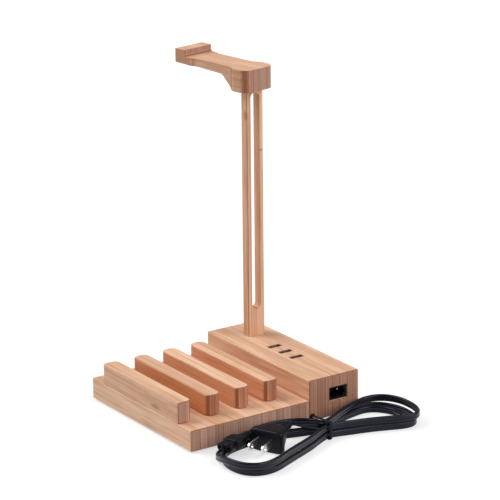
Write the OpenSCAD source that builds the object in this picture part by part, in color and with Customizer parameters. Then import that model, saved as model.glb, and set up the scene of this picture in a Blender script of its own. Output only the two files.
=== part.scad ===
// Charging organizer in laminated bamboo: a slab with four dividers, a hollow
// rear housing with a three-port charger, and a slotted post with a hanger arm.
// X runs along the dividers towards the mains inlet, Y from the front edge to
// the housing, and Z up from the surface that the feet stand on.

/* [Base] */
// Width of the slab and the housing, along the dividers
base_w = 156; // [141:1:200]
// Depth of the slab in front of the housing
slab_d = 119; // [112:1:160]
// Thickness of the slab
slab_t = 18.5; // [16:0.5:26]
// Rounding of the upright corners of the slab and the housing
corner_r = 1.2; // [0.6:0.1:3]

/* [Housing] */
// Depth of the housing
house_d = 51; // [46:1:70]
// Height of the housing, from its underside
house_h = 36.5; // [34:0.5:48]
// Thickness of the housing's front, rear and end walls
wall_t = 7; // [5:0.5:9]
// Thickness of the housing's top over the circuit board
roof_t = 5.5; // [5:0.5:8]
// Length of the solid end under the post
solid_end = 47; // [43:1:51]
// Thickness of the cover under the housing
cover_t = 2.4; // [1.6:0.2:4]
// Width of the ledge that the cover rests against
cover_ledge = 3; // [2:0.5:4]

/* [Dividers] */
// Thickness of a divider
divider_t = 14; // [12:0.5:16]
// Height of a divider above the slab
divider_h = 18.5; // [14:0.5:30]
// Distance from one divider to the next
divider_pitch = 29; // [26:0.5:31]
// Distance from a divider's end to the end of the slab
divider_inset = 19; // [10:1:30]
// Rounding of a divider's upright corners
divider_r = 5.5; // [2:0.5:6]

/* [Post] */
// Distance of the post's centre from the end of the base
post_x = 29.5; // [25:0.5:33]
// Distance of the post's centre behind the housing's front face
post_back = 30; // [24:0.5:33]
// Thickness of the post, along the dividers
post_t = 9; // [8:0.5:12]
// Width of the post, across the dividers
post_w = 17; // [16:0.5:22]
// Height of the post between the housing and the hanger
post_h = 222; // [180:0.5:260]
// Width of the slot through the post
slot_w = 9; // [6:0.5:10]
// Distance from the housing's top to the slot's lower end
slot_low = 24.5; // [15:0.5:60]
// Distance from the slot's upper end to the hanger's underside
slot_high = 2; // [1:0.5:20]
// Depth of the post's foot in the housing, and of its top in the hanger
post_seat = 12; // [8:0.5:14]

/* [Hanger] */
// Angle by which the hanger is turned on the post
arm_turn = 10; // [0:1:12]
// Distance from the post's centre to the end of the lip
arm_reach = 80; // [65:1:100]
// Distance of the arm's middle behind the post's centre
arm_shift = 1.2; // [0:0.1:2]
// Width of the arm
arm_w = 27; // [20:0.5:29]
// Width of the lip
lip_w = 32; // [29.5:0.5:34]
// Thickness of the arm where it leaves the head
arm_t = 8; // [5:0.2:9]
// Thickness of the arm at its tip
arm_tip_t = 6; // [4:0.2:9]
// Height of the hanger's head
head_h = 19.5; // [18:0.5:24]
// Width of the head
head_w = 36; // [32:0.5:40]
// Distance from the post's centre to the front of the head
head_front = 9.5; // [8:0.5:14]
// Distance from the post's centre to the back of the head
head_back = 13.5; // [12:0.5:20]
// Rounding of the head's upright corners
head_r = 9.5; // [4:0.5:9.5]
// Rounding between the head and the arm, seen from above
neck_r = 9; // [6:0.5:12]
// Height of the lip above the arm
lip_h = 6; // [3:0.5:8]
// Thickness of the lip
lip_t = 11.5; // [8:0.5:14]

/* [Charger] */
// Distance of the first port's centre from the end of the base
port_x = 67; // [64:0.5:69]
// Distance from one port to the next
port_pitch = 16.5; // [14:0.5:17]
// Distance of the ports behind the housing's front face
port_back = 26; // [23:0.5:28]
// Outer width of a port's shell
port_w = 13.1; // [12.8:0.1:13.4]
// Outer thickness of a port's shell
port_t = 5.7; // [5.5:0.1:6]
// Height of a port's shell above the circuit board
port_h = 14; // [12:0.5:15]
// Depth of a port's mouth below the housing's top
port_sink = 0.6; // [0.3:0.1:2]
// Thickness of the circuit board
board_t = 1.6; // [1:0.2:2]

/* [Inlet] */
// Distance of the inlet's centre behind the housing's front face
inlet_back = 29.8; // [26:0.2:33]
// Height of the inlet's centre above the housing's underside
inlet_z = 19.8; // [17:0.2:22]
// Outer width of the inlet
inlet_w = 19; // [18:0.5:22]
// Outer height of the inlet
inlet_h = 12.2; // [12:0.2:14]
// Depth of the inlet's body
inlet_d = 18; // [17:0.5:20]
// Distance between the inlet's two pins
pin_pitch = 8.6; // [8.4:0.1:8.8]
// Diameter of an inlet pin
pin_d = 2.4; // [2.2:0.1:2.6]

/* [Cord] */
// Width of the flat cord
cord_w = 6.2; // [5.6:0.2:7]
// Thickness of the flat cord
cord_t = 3.4; // [2.8:0.2:3.6]
// Width of the mains plug
plug_w = 29.5; // [24:0.5:31]
// Height of the mains plug
plug_h = 20; // [15:0.5:21]
// Length of the mains plug's body
plug_l = 20; // [18:0.5:30]
// Width of the figure-eight connector
conn_w = 15; // [14:0.5:17]
// Height of the figure-eight connector
conn_h = 9; // [8:0.5:10]
// Length of the figure-eight connector
conn_l = 22; // [20:0.5:30]

/* [Feet and fasteners] */
// Diameter of a rubber foot
foot_d = 12; // [8:0.5:16]
// Height of a rubber foot
foot_h = 1.5; // [1:0.5:4]
// Distance from a foot's centre to the edges of the base
foot_in = 11; // [9:0.5:16]
// Diameter of the wood screws' shanks
screw_d = 3.5; // [3:0.1:4]
// Clearance around pieces that slip into wood
fit = 0.1; // [0.05:0.05:0.2]

/* [Hidden] */
$fn = 48;
tiny = 0.01;
// Chamfer along the edges of the slab, the dividers and the housing
edge_c = 0.7;

// Places in the base's own frame, whose corner is the base's front left one
base_d = slab_d + house_d;
base_z = foot_h;
slab_z = base_z + slab_t;
house_z = base_z + house_h;
post_y = slab_d + post_back;
head_z = house_z + post_h;

// The part's origin is under the middle of the box round the object without its cord
lip_far_x = post_x - arm_reach * cos(arm_turn) - (lip_w / 2 + arm_shift) * sin(arm_turn);
ref_x = (lip_far_x + base_w) / 2;
ref_y = base_d / 2;
module in_frame() { translate([-ref_x, -ref_y, 0]) children(); }

// Colours
bamboo = [0.83, 0.64, 0.47];
bamboo_dark = [0.72, 0.52, 0.36];
black = [0.06, 0.06, 0.07];
steel = [0.75, 0.76, 0.78];
brass = [0.80, 0.66, 0.35];
board_green = [0.10, 0.36, 0.20];

// A box with rounded upright corners, from its lowest corner
module round_box(size, r) {
    for (x = [r, size[0] - r], y = [r, size[1] - r]) translate([x, y, 0]) cylinder(r = r, h = size[2]);
    translate([r, 0, 0]) cube([size[0] - 2 * r, size[1], size[2]]);
    translate([0, r, 0]) cube([size[0], size[1] - 2 * r, size[2]]);
}

// A rectangle from its lowest corner, with its four corners cut off
module chamfered(w, h, c) {
    polygon([[c, 0], [w - c, 0], [w, c], [w, h - c], [w - c, h], [c, h], [0, h - c], [0, c]]);
}

// A box with rounded upright corners and chamfered top and bottom edges
module soft_box(size, r, c) {
    x = size[0];
    y = size[1];
    z = size[2];
    for (px = [r, x - r], py = [r, y - r]) translate([px, py, 0]) {
        cylinder(r1 = r - c, r2 = r, h = c);
        translate([0, 0, c]) cylinder(r = r, h = z - 2 * c);
        translate([0, 0, z - c]) cylinder(r1 = r, r2 = r - c, h = c);
    }
    translate([r, 0, 0]) rotate([90, 0, 90]) linear_extrude(x - 2 * r) chamfered(y, z, c);
    translate([0, y - r, 0]) rotate([90, 0, 0]) linear_extrude(y - 2 * r) chamfered(x, z, c);
}

// A countersunk screw that points up from its head at z = 0
module screw(d, l) {
    cylinder(d1 = 2 * d, d2 = d, h = d / 2);
    cylinder(d = d, h = l - d);
    translate([0, 0, l - d]) cylinder(d1 = d, d2 = d / 4, h = d);
}

// The hole for such a screw
module screw_hole(d, l) {
    translate([0, 0, -tiny]) cylinder(d1 = 2 * d + 2 * fit, d2 = d + 2 * fit, h = d / 2 + tiny);
    cylinder(d = d + 2 * fit, h = l + fit);
}

// Base slab and dividers

divider_x = divider_inset;
divider_l = base_w - 2 * divider_inset;
function divider_y(i) = i * divider_pitch;
divider_screw_l = slab_t + 0.6 * divider_h;
divider_screw_in = 22;

module divider_screw_places(i) {
    for (x = [divider_x + divider_screw_in, divider_x + divider_l - divider_screw_in])
        translate([x, divider_y(i) + divider_t / 2, base_z]) children();
}

module base_slab() {
    color(bamboo) in_frame() difference() {
        translate([0, 0, base_z]) soft_box([base_w, slab_d, slab_t], corner_r, edge_c);
        for (i = [0 : 3]) divider_screw_places(i) screw_hole(screw_d, divider_screw_l);
        joint_dowel_places() dowel(fit);
    }
}

// The front divider is flush with the slab's front, so only its rear corners are rounded
module divider(i) {
    color(bamboo) in_frame() difference() {
        translate([divider_x, divider_y(i), slab_z]) {
            if (i == 0) front_divider_shape();
            else soft_box([divider_l, divider_t, divider_h], divider_r, edge_c);
        }
        divider_screw_places(i) screw_hole(screw_d, divider_screw_l);
    }
}

module front_divider_shape() {
    intersection() {
        soft_box([divider_l, divider_t, divider_h], corner_r, edge_c);
        union() {
            cube([divider_l, divider_t - divider_r, divider_h]);
            translate([0, -divider_t, 0]) soft_box([divider_l, 2 * divider_t, divider_h], divider_r, edge_c);
        }
    }
}

module divider_1() { divider(0); }
module divider_2() { divider(1); }
module divider_3() { divider(2); }
module divider_4() { divider(3); }

module divider_screws() {
    color(steel) in_frame() for (i = [0 : 3]) divider_screw_places(i) screw(screw_d, divider_screw_l);
}

// Dowels between the slab and the housing

dowel_d = 6;
dowel_in_slab = 15;
dowel_in_wall = wall_t - 1.5;

module joint_dowel_places() {
    for (k = [-1 : 1]) translate([base_w / 2 + k * 0.36 * base_w, slab_d, base_z + slab_t / 2]) children();
}

module dowel(gap) {
    translate([0, dowel_in_wall + gap, 0]) rotate([90, 0, 0])
        cylinder(d = dowel_d + 2 * gap, h = dowel_in_wall + dowel_in_slab + 2 * gap);
}

module joint_dowels() {
    color(bamboo_dark) in_frame() joint_dowel_places() dowel(0);
}

// Rear housing and its cover

bay_x = solid_end;
bay_l = base_w - wall_t - solid_end;
bay_y = slab_d + wall_t;
bay_w = house_d - 2 * wall_t;
roof_z = house_z - roof_t;
cover_z = base_z + cover_t;
cover_screw_d = 2.4;
cover_screw_in = 9;
cover_screw_l = cover_t + cover_screw_in;

module rear_housing() {
    color(bamboo) in_frame() difference() {
        translate([0, slab_d, base_z]) soft_box([base_w, house_d, house_h], corner_r, edge_c);
        translate([bay_x, bay_y, base_z - tiny]) cube([bay_l, bay_w, roof_z - base_z + tiny]);
        translate([bay_x - cover_ledge, bay_y - cover_ledge, base_z - tiny])
            cube([bay_l + 2 * cover_ledge, bay_w + 2 * cover_ledge, cover_t + tiny]);
        cover_screw_places() cylinder(d = cover_screw_d + 2 * fit, h = cover_screw_l + fit);
        for (i = [0 : 2]) port_place(i) translate([-port_t / 2 - fit, -port_w / 2 - fit, 0])
            cube([port_t + 2 * fit, port_w + 2 * fit, house_h]);
        inlet_place() translate([-wall_t - 1, -inlet_w / 2 - fit, -inlet_h / 2 - fit])
            cube([wall_t + 2, inlet_w + 2 * fit, inlet_h + 2 * fit]);
        post_shape(post_seat + fit, fit);
        post_bolt_hole();
        joint_dowel_places() dowel(fit);
        board_screw_places() cylinder(d = board_screw_d + 2 * fit, h = house_z - board_z - 1);
    }
}

module cover_screw_places() {
    inset = cover_ledge / 2;
    for (x = [bay_x - inset, bay_x + bay_l + inset], y = [bay_y - inset, bay_y + bay_w + inset])
        translate([x, y, base_z]) children();
}

vent_w = 2.4;
vent_l = 0.6 * bay_w;
vent_pitch = 6;

module bottom_cover() {
    color(black) in_frame() difference() {
        translate([bay_x - cover_ledge + fit, bay_y - cover_ledge + fit, base_z])
            cube([bay_l + 2 * cover_ledge - 2 * fit, bay_w + 2 * cover_ledge - 2 * fit, cover_t]);
        cover_screw_places() screw_hole(cover_screw_d, cover_screw_l);
        for (k = [-3 : 3]) translate([bay_x + bay_l / 2 + k * vent_pitch, bay_y + bay_w / 2, base_z - tiny]) {
            translate([-vent_w / 2, -vent_l / 2, 0]) cube([vent_w, vent_l, cover_t + 2 * tiny]);
            for (s = [-1, 1]) translate([0, s * vent_l / 2, 0]) cylinder(d = vent_w, h = cover_t + 2 * tiny);
        }
    }
}

module cover_screws() {
    color(steel) in_frame() cover_screw_places() screw(cover_screw_d, cover_screw_l);
}

module rubber_feet() {
    color(black) in_frame() for (x = [foot_in, base_w - foot_in], y = [foot_in, base_d - foot_in])
        translate([x, y, 0]) {
            cylinder(d1 = foot_d - foot_h, d2 = foot_d, h = foot_h / 2);
            translate([0, 0, foot_h / 2]) cylinder(d = foot_d, h = foot_h / 2);
        }
}

// Post, from its foot in the housing to its top in the hanger

post_r = 1.2;
insert_d = 6.4;
insert_l = 10;
bolt_d = 4;
bolt_head_d = 7;
bolt_head_h = 3;
washer_d = 8.6;
washer_t = 0.8;
bolt_z = base_z + 8;
post_foot_z = house_z - post_seat;

// The post's outline, reaching past both of its visible ends, with a gap all round
module post_shape(seat, gap) {
    translate([post_x - post_t / 2 - gap, post_y - post_w / 2 - gap, house_z - seat])
        round_box([post_t + 2 * gap, post_w + 2 * gap, post_h + 2 * seat], post_r);
}

module post() {
    slot_z = house_z + slot_low;
    slot_top = head_z - slot_high;
    color(bamboo) in_frame() difference() {
        post_shape(post_seat, 0);
        translate([post_x - post_t, post_y, 0]) {
            translate([0, -slot_w / 2, slot_z + slot_w / 2]) cube([2 * post_t, slot_w, slot_top - slot_z - slot_w]);
            for (z = [slot_z + slot_w / 2, slot_top - slot_w / 2])
                translate([0, 0, z]) rotate([0, 90, 0]) cylinder(d = slot_w, h = 2 * post_t);
        }
        translate([post_x, post_y, post_foot_z - tiny]) cylinder(d = insert_d + 2 * fit, h = insert_l + 2 + tiny);
    }
}

module post_bolt_hole() {
    translate([post_x, post_y, base_z - tiny]) cylinder(d = washer_d + 2 * fit, h = bolt_z - base_z + tiny);
    translate([post_x, post_y, base_z]) cylinder(d = bolt_d + 0.5, h = house_h - post_seat);
}

module post_insert() {
    color(brass) in_frame() translate([post_x, post_y, post_foot_z]) difference() {
        cylinder(d = insert_d, h = insert_l);
        translate([0, 0, -tiny]) cylinder(d = bolt_d + 0.1, h = insert_l + 2 * tiny);
    }
}

module post_bolt() {
    color(steel) in_frame() translate([post_x, post_y, bolt_z - washer_t]) {
        cylinder(d = bolt_d, h = post_foot_z + insert_l - bolt_z + washer_t - 1);
        translate([0, 0, -bolt_head_h]) difference() {
            cylinder(d = bolt_head_d, h = bolt_head_h);
            translate([0, 0, -tiny]) cylinder(d = 3.5, h = 0.6 * bolt_head_h, $fn = 6);
        }
    }
}

module post_washer() {
    color(steel) in_frame() translate([post_x, post_y, bolt_z - washer_t]) difference() {
        cylinder(d = washer_d, h = washer_t);
        translate([0, 0, -tiny]) cylinder(d = bolt_d + 0.3, h = washer_t + 2 * tiny);
    }
}

// Hanger arm: its side outline crossed with its plan outline

throat_r = 7;
throat_slope = 42;
lip_fillet = 0.45 * lip_h;
flare_r = 14;

// Points along an arc, from one angle to another
function arc(c, r, a0, a1, n = 10) = [for (i = [0 : n]) let (a = a0 + (a1 - a0) * i / n) c + r * [cos(a), sin(a)]];

// The side outline: x towards the head's front, y up from the head's underside
module arm_side() {
    under = head_h - arm_t;
    reach = throat_r * sin(throat_slope);
    rise = throat_r * (1 - cos(throat_slope));
    run = (under - 2 * rise) / tan(throat_slope);
    foot = reach - head_back;
    polygon(concat(
        [[head_front, 0]],
        arc([foot, throat_r], throat_r, 270, 270 - throat_slope),
        arc([foot - 2 * reach - run, under - throat_r], throat_r, 90 - throat_slope, 90),
        [[-arm_reach, head_h - arm_tip_t], [-arm_reach, head_h + lip_h], [lip_t - arm_reach, head_h + lip_h]],
        arc([lip_t + lip_fillet - arm_reach, head_h + lip_fillet], lip_fillet, 180, 270),
        [[head_front, head_h]]
    ));
}

// Half of the plan outline: the lip, the narrower arm, the neck and the rounded head
function plan_half() =
    let (step = (head_w - arm_w) / 2, turn = acos(1 - step / (neck_r + head_r)),
         span = (neck_r + head_r) * sin(turn), corner = head_r - head_back,
         flare = (lip_w - arm_w) / 2, flare_turn = acos(1 - flare / (2 * flare_r)),
         flare_span = 2 * flare_r * sin(flare_turn), end = lip_t + 4 - arm_reach)
    concat(
        [[-arm_reach, lip_w / 2]],
        arc([end, lip_w / 2 - flare_r], flare_r, 90, 90 - flare_turn),
        arc([end + flare_span, arm_w / 2 + flare_r], flare_r, 270 - flare_turn, 270),
        arc([corner - span, arm_w / 2 + neck_r], neck_r, 270, 270 + turn),
        arc([corner, head_w / 2 - head_r], head_r, 90 + turn, 90),
        arc([head_front - head_r, head_w / 2 - head_r], head_r, 90, 0)
    );

module arm_plan() {
    half = plan_half();
    n = len(half);
    polygon(concat(half, [for (i = [n - 1 : -1 : 0]) [half[i][0], -half[i][1]]]));
}

module hanger_arm() {
    color(bamboo) in_frame() difference() {
        translate([post_x, post_y, head_z]) rotate([0, 0, arm_turn]) translate([0, arm_shift, 0]) intersection() {
            linear_extrude(head_h + lip_h) arm_plan();
            translate([0, head_w, 0]) rotate([90, 0, 0]) linear_extrude(2 * head_w) arm_side();
        }
        post_shape(post_seat + fit, fit);
    }
}

// Charger: the board hangs from the roof, with its ports up and its tall pieces down

inlet_sink = 2;
inlet_tail = 3;
inlet_back_x = base_w - inlet_sink - inlet_d - inlet_tail;
board_z = house_z - port_sink - port_h - board_t;
board_top = board_z + board_t;
board_x = bay_x + 3;
board_l = inlet_back_x - 3 - board_x;
board_y = bay_y + 2;
board_w = bay_w - 4;
board_screw_d = 2.5;
board_screw_in = 4;
spacer_d = 6;

module board_screw_places() {
    for (x = [board_x + board_screw_in, board_x + board_l - board_screw_in],
         y = [board_y + board_screw_in, board_y + board_w - board_screw_in])
        translate([x, y, board_z]) children();
}

module circuit_board() {
    color(board_green) in_frame() difference() {
        translate([board_x, board_y, board_z]) cube([board_l, board_w, board_t]);
        board_screw_places() translate([0, 0, -tiny]) cylinder(d = board_screw_d + 0.4, h = board_t + 2 * tiny);
    }
}

module board_spacers() {
    color(steel) in_frame() board_screw_places() translate([0, 0, board_t]) difference() {
        cylinder(d = spacer_d, h = roof_z - board_top);
        translate([0, 0, -tiny]) cylinder(d = board_screw_d + 0.4, h = roof_z - board_top + 2 * tiny);
    }
}

module board_screws() {
    l = roof_z - board_z + roof_t - 1.2;
    color(steel) in_frame() board_screw_places() {
        translate([0, 0, -1.6]) cylinder(d = 2 * board_screw_d, h = 1.6);
        cylinder(d = board_screw_d, h = l - board_screw_d);
        translate([0, 0, l - board_screw_d]) cylinder(d1 = board_screw_d, d2 = 0.6, h = board_screw_d);
    }
}

// The ports

shell_t = 0.35;
tongue_w = 11.1;
tongue_t = 1.9;
tongue_sink = 1;
tongue_off = -0.9;

module port_place(i) {
    translate([port_x + i * port_pitch, slab_d + port_back, board_top]) children();
}

module port_shell(i) {
    color(steel) in_frame() port_place(i) difference() {
        translate([-port_t / 2, -port_w / 2, 0]) cube([port_t, port_w, port_h]);
        translate([shell_t - port_t / 2, shell_t - port_w / 2, -tiny])
            cube([port_t - 2 * shell_t, port_w - 2 * shell_t, port_h + 2 * tiny]);
    }
}

module port_tongue(i) {
    base_h = 4;
    gap = shell_t + 0.05;
    color(black) in_frame() port_place(i) {
        translate([gap - port_t / 2, gap - port_w / 2, 0]) cube([port_t - 2 * gap, port_w - 2 * gap, base_h]);
        translate([tongue_off - tongue_t / 2, -tongue_w / 2, 0]) cube([tongue_t, tongue_w, port_h - tongue_sink]);
    }
}

module port_shell_1() { port_shell(0); }
module port_shell_2() { port_shell(1); }
module port_shell_3() { port_shell(2); }
module port_tongue_1() { port_tongue(0); }
module port_tongue_2() { port_tongue(1); }
module port_tongue_3() { port_tongue(2); }

contact_t = 0.25;
contact_w = 1;
contact_l = 7.6;

module port_contacts() {
    color(brass) in_frame() for (i = [0 : 2], y = [-3.5, -1, 1, 3.5]) port_place(i)
        translate([tongue_off + tongue_t / 2, y - contact_w / 2, port_h - tongue_sink - 0.6 - contact_l])
            cube([contact_t, contact_w, contact_l]);
}

// What hangs under the board

core_t = 8;
core_w = 20;
core_h = 15;
core_leg = 5;
core_yoke = 3;
bobbin_out = 4.5;
capacitor_d = 10;
capacitor_x = board_x + board_l - 20;
capacitor_gap = 1.5;
core_x = capacitor_x - capacitor_d / 2 - capacitor_gap - core_w / 2;
core_y = board_y + board_w / 2;

module core_window(gap) {
    w = (core_w - 2 * core_yoke - core_leg) / 2;
    for (s = [-1, 1]) translate([s * (core_leg + w) / 2 - w / 2 + gap, -core_t, core_yoke + gap])
        cube([w - 2 * gap, 2 * core_t, core_h - 2 * core_yoke - 2 * gap]);
}

module transformer_core() {
    color([0.2, 0.2, 0.22]) in_frame() translate([core_x, core_y, board_z - core_h]) difference() {
        translate([-core_w / 2, -core_t / 2, 0]) cube([core_w, core_t, core_h]);
        core_window(0);
    }
}

module transformer_bobbin() {
    l = core_w - 2 * core_yoke - 2 * fit;
    w = core_t + 2 * bobbin_out;
    h = core_h - 2 * core_yoke - 2 * fit;
    color([0.86, 0.68, 0.12]) in_frame() translate([core_x, core_y, board_z - core_h + core_yoke + fit]) difference() {
        translate([-l / 2, -w / 2, 0]) cube([l, w, h]);
        translate([-core_leg / 2 - fit, -core_t / 2 - fit, -tiny])
            cube([core_leg + 2 * fit, core_t + 2 * fit, h + 2 * tiny]);
    }
}

// An electrolytic capacitor that hangs from the board, with a crimped neck and a chamfered end
module can(d, h) {
    groove = 0.5;
    translate([0, 0, -h]) rotate_extrude() polygon([[0, 0], [d / 2 - groove, 0], [d / 2, groove], [d / 2, h - 3],
        [d / 2 - groove, h - 2.4], [d / 2 - groove, h - 2], [d / 2, h - 1.4], [d / 2, h], [0, h]]);
}

module input_capacitor() {
    color([0.16, 0.18, 0.28]) in_frame() translate([capacitor_x, core_y, board_z]) can(capacitor_d, 15);
}

module output_capacitors() {
    color([0.16, 0.18, 0.28]) in_frame() for (s = [-1, 1])
        translate([board_x + 14, core_y + s * 6, board_z]) can(8, 12);
}

module suppression_capacitor() {
    color([0.80, 0.62, 0.16]) in_frame() translate([board_x + board_l - 12, core_y - 6.5, board_z - 11]) cube([6, 13, 11]);
}

module fuse() {
    color([0.55, 0.16, 0.12]) in_frame() translate([board_x + board_l - 30, board_y + board_w - 4.5, board_z]) can(6, 8);
}

module bridge_rectifier() {
    color(black) in_frame() translate([board_x + board_l - 29, board_y + 4, board_z - 3]) cube([9, 6.5, 3]);
}

module controller_chip() {
    color(black) in_frame() translate([board_x + 28, board_y + 6, board_z - 1.6]) cube([5, 4, 1.6]);
}

// The mains inlet, its two pins and the wires from them to the board

inlet_flange = 2;
inlet_flange_out = 2.5;
socket_d = 9;
socket_w = 15.6;
socket_deep = 13;
pin_deep = 5;
pin_l = inlet_d + inlet_tail - pin_deep;

// The inlet's place: the middle of its face, with X pointing out of it
module inlet_place() {
    translate([base_w, slab_d + inlet_back, base_z + inlet_z]) children();
}

// The figure-eight outline of the socket and the connector's nose, along X from x = 0
module eight(w, d, l) {
    for (s = [-1, 1]) translate([0, s * (w - d) / 2, 0]) rotate([0, 90, 0]) cylinder(d = d, h = l);
    translate([0, -(w - d) / 2, -0.44 * d]) cube([l, w - d, 0.88 * d]);
}

module inlet_body() {
    y = inlet_w / 2;
    z = inlet_h / 2;
    color(black) in_frame() inlet_place() translate([-inlet_sink, 0, 0]) difference() {
        union() {
            translate([-inlet_d, -y, -z]) cube([inlet_d, inlet_w, inlet_h]);
            translate([inlet_sink - wall_t - inlet_flange, -y - inlet_flange_out, -z - inlet_flange_out])
                cube([inlet_flange, inlet_w + 2 * inlet_flange_out, inlet_h + 2 * inlet_flange_out]);
        }
        translate([-socket_deep, 0, 0]) eight(socket_w, socket_d, socket_deep + tiny);
        pin_places() cylinder(d = pin_d + 2 * fit, h = 2 * inlet_d, center = true);
    }
}

module pin_places() {
    for (s = [-1, 1]) translate([0, s * pin_pitch / 2, 0]) rotate([0, 90, 0]) children();
}

module inlet_pins() {
    color(steel) in_frame() inlet_place() translate([-inlet_sink - pin_deep, 0, 0]) pin_places() {
        translate([0, 0, -pin_l]) cylinder(d = pin_d, h = pin_l - pin_d / 2);
        translate([0, 0, -pin_d / 2]) sphere(d = pin_d);
    }
}

wire_d = 1.8;
wire_drop = 5;
wire_run = 9;

// Points on a wire from a pin's tail, down and up again into the board's underside
function wire_points(x, y, z) =
    [[x, y, z], [x - 1.5, y, z], [x - 3, y, z - 0.8], [x - 4.2, y, z - 2.4], [x - 5, y, z - wire_drop + 0.6],
     [x - 6.2, y, z - wire_drop - 0.3], [x - 7.6, y, z - wire_drop], [x - wire_run + 0.4, y, z - wire_drop + 1.4],
     [x - wire_run, y, z - wire_drop + 3], [x - wire_run, y, board_z]];

module inlet_wires() {
    color([0.5, 0.1, 0.1]) in_frame() for (s = [-1, 1])
        let (p = wire_points(inlet_back_x, slab_d + inlet_back + s * pin_pitch / 2, base_z + inlet_z))
            tube(p, wire_d, wire_d, [for (q = p) 0], 0, len(p) - 1, 8);
}

// Cord set: a flat twin cord in a tied hank, with a mains plug and a figure-eight connector.
// Its places are measured from the base's front corner beneath the inlet.

// A tube of oval section along points, from one of them to another. It stands on edge
// where its roll is 0 and lies flat where its roll is 90.
module tube(points, w, t, rolls, from, to, sides = 6) {
    n = len(points);
    rings = [for (i = [from : to]) let (d = unit(points[min(i + 1, n - 1)] - points[max(i - 1, 0)]),
            s = abs(d[2]) > 0.999 ? [0, -1, 0] : unit([-d[1], d[0], 0]), u = cross(d, s), r = rolls[i])
        for (k = [0 : sides - 1]) let (a = 360 * (k + 0.5) / sides,
            p = cos(a) * t / 2 / cos(180 / sides), q = sin(a) * w / 2)
            points[i] + s * (p * cos(r) - q * sin(r)) + u * (p * sin(r) + q * cos(r))];
    last = (to - from) * sides;
    start_cap = [for (k = [1 : sides - 2]) [0, k, k + 1]];
    end_cap = [for (k = [1 : sides - 2]) [last, last + k + 1, last + k]];
    walls = [for (i = [0 : to - from - 1], k = [0 : sides - 1])
        let (a = i * sides + k, b = i * sides + (k + 1) % sides) each [[a, a + sides, b + sides], [a, b + sides, b]]];
    polyhedron(rings, concat(start_cap, end_cap, walls));
}

function unit(v) = v / norm(v);

// The hank: three loops to the right of the tie and two to the left, on edge in two layers.
// A loop is a lobe from the tie out to its tip and back, and is drawn in at the tie.
// Side 0 is the right and side 1 the left, from the front of the base's inlet end.

tie_at = [32, 109.8];
lobe_turn = [93, -76];
lobe_l = [91, 104.5];
// How far a lobe swells towards the base and away from it, and how late from the tie
lobe_far_w = [28, 34];
lobe_near_w = [32, 20];
lobe_far_lag = [2, 1.2];
lobe_near_lag = [3.4, 2.6];
layer_step = cord_w + 0.8;
column_step = cord_t + 0.9;
tie_wall = 1;
floor_lift = tie_wall + 0.2;
steps = 24;

function smooth(x) = let (t = max(0, min(1, x))) t * t * (3 - 2 * t);
function blend(a, b, x) = a + (b - a) * smooth(x);
// A swelling along the lobe that peaks at 1, and that sets in later for a larger lag
function swell(p, lag) = sin(p) * pow(sin(p / 2), lag) / swell_peak(lag);
function swell_peak(lag) = 2 * pow((lag + 1) / (lag + 2), (lag + 1) / 2) / sqrt(lag + 2);
function lobe_axis(side) = [cos(lobe_turn[side]), sin(lobe_turn[side])];
function lobe_far(side) = (side == 0 ? 1 : -1) * [-sin(lobe_turn[side]), cos(lobe_turn[side])];
waist_far = unit(lobe_far(0) + lobe_far(1));

// A point on a lobe, where p runs from 0 through 180 at its tip to 360. The columns and
// levels are those at the tie, at both ends. Grow and level are its own, out and back.
function lobe_point(side, p, grow, columns, levels, level) =
    let (far = (p < 180) == (side == 1), tie_part = min(p, 360 - p), end = p < 180 ? 0 : 1,
         bigger = blend(grow[0], grow[1], (p - 190) / 70),
         l = lobe_l[side] + bigger, w = (far ? lobe_far_w : lobe_near_w)[side] + bigger,
         out = l * (1 - cos(p)) / 2, across = w * swell(p, (far ? lobe_far_lag : lobe_near_lag)[side]) * (side == 0 ? -1 : 1),
         column = blend(columns[end], 0, (tie_part - 55) / 55),
         own = blend(level[0], level[1], (p - 125) / 50),
         high = blend(levels[end], own, tie_part / 50),
         flat = tie_at + lobe_axis(side) * out + lobe_far(side) * across + waist_far * column * column_step)
    [flat[0], flat[1], cord_w / 2 + high * layer_step + blend(floor_lift, 0, tie_part / 60)];

// Each lobe: its side, growth, columns and levels at the tie, and own levels
inner = [-12.4, -5.6];
outer = 4.4;
lobes = [
    [0, inner, [-0.5, 1.5], [1, 0], [0, 0]],
    [1, [0, 0], [1.5, -1.5], [0, 0], [0, 0]],
    [0, [-4, 0], [-1.5, 2.5], [0, 0], [0, 0]],
    [1, [outer, 0], [2.5, -1.5], [0, 1], [0, 1]],
    [0, [-2, -3], [-1.5, 0.5], [1, 1], [1, 1]]
];

hank_points = [for (i = [0 : len(lobes) - 1], k = [i == 0 ? 0 : 1 : steps]) let (v = lobes[i])
    lobe_point(v[0], 360 * k / steps, v[1], v[2], v[3], v[4])];

// The leads from the plug and the connector to the hank, through points chosen by hand

plug_at = [33.2, 51];
plug_turn = -66;
plug_pitch = 4.5;
boot_l = 16;
conn_at = [27.5, 14];
conn_turn = -68;
conn_z = cord_w + 0.5 + conn_h / 2;
conn_boot_l = 12;
lead_straight = 4;

function heading(turn, pitch) = [cos(turn) * cos(pitch), sin(turn) * cos(pitch), -sin(pitch)];
plug_axis = heading(plug_turn, plug_pitch);
conn_axis = heading(conn_turn, 0);
plug_end = [plug_at[0], plug_at[1], plug_h / 2] - plug_axis * (plug_l + boot_l);
conn_end = [conn_at[0], conn_at[1], conn_z] - conn_axis * (conn_l + conn_boot_l);

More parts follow.
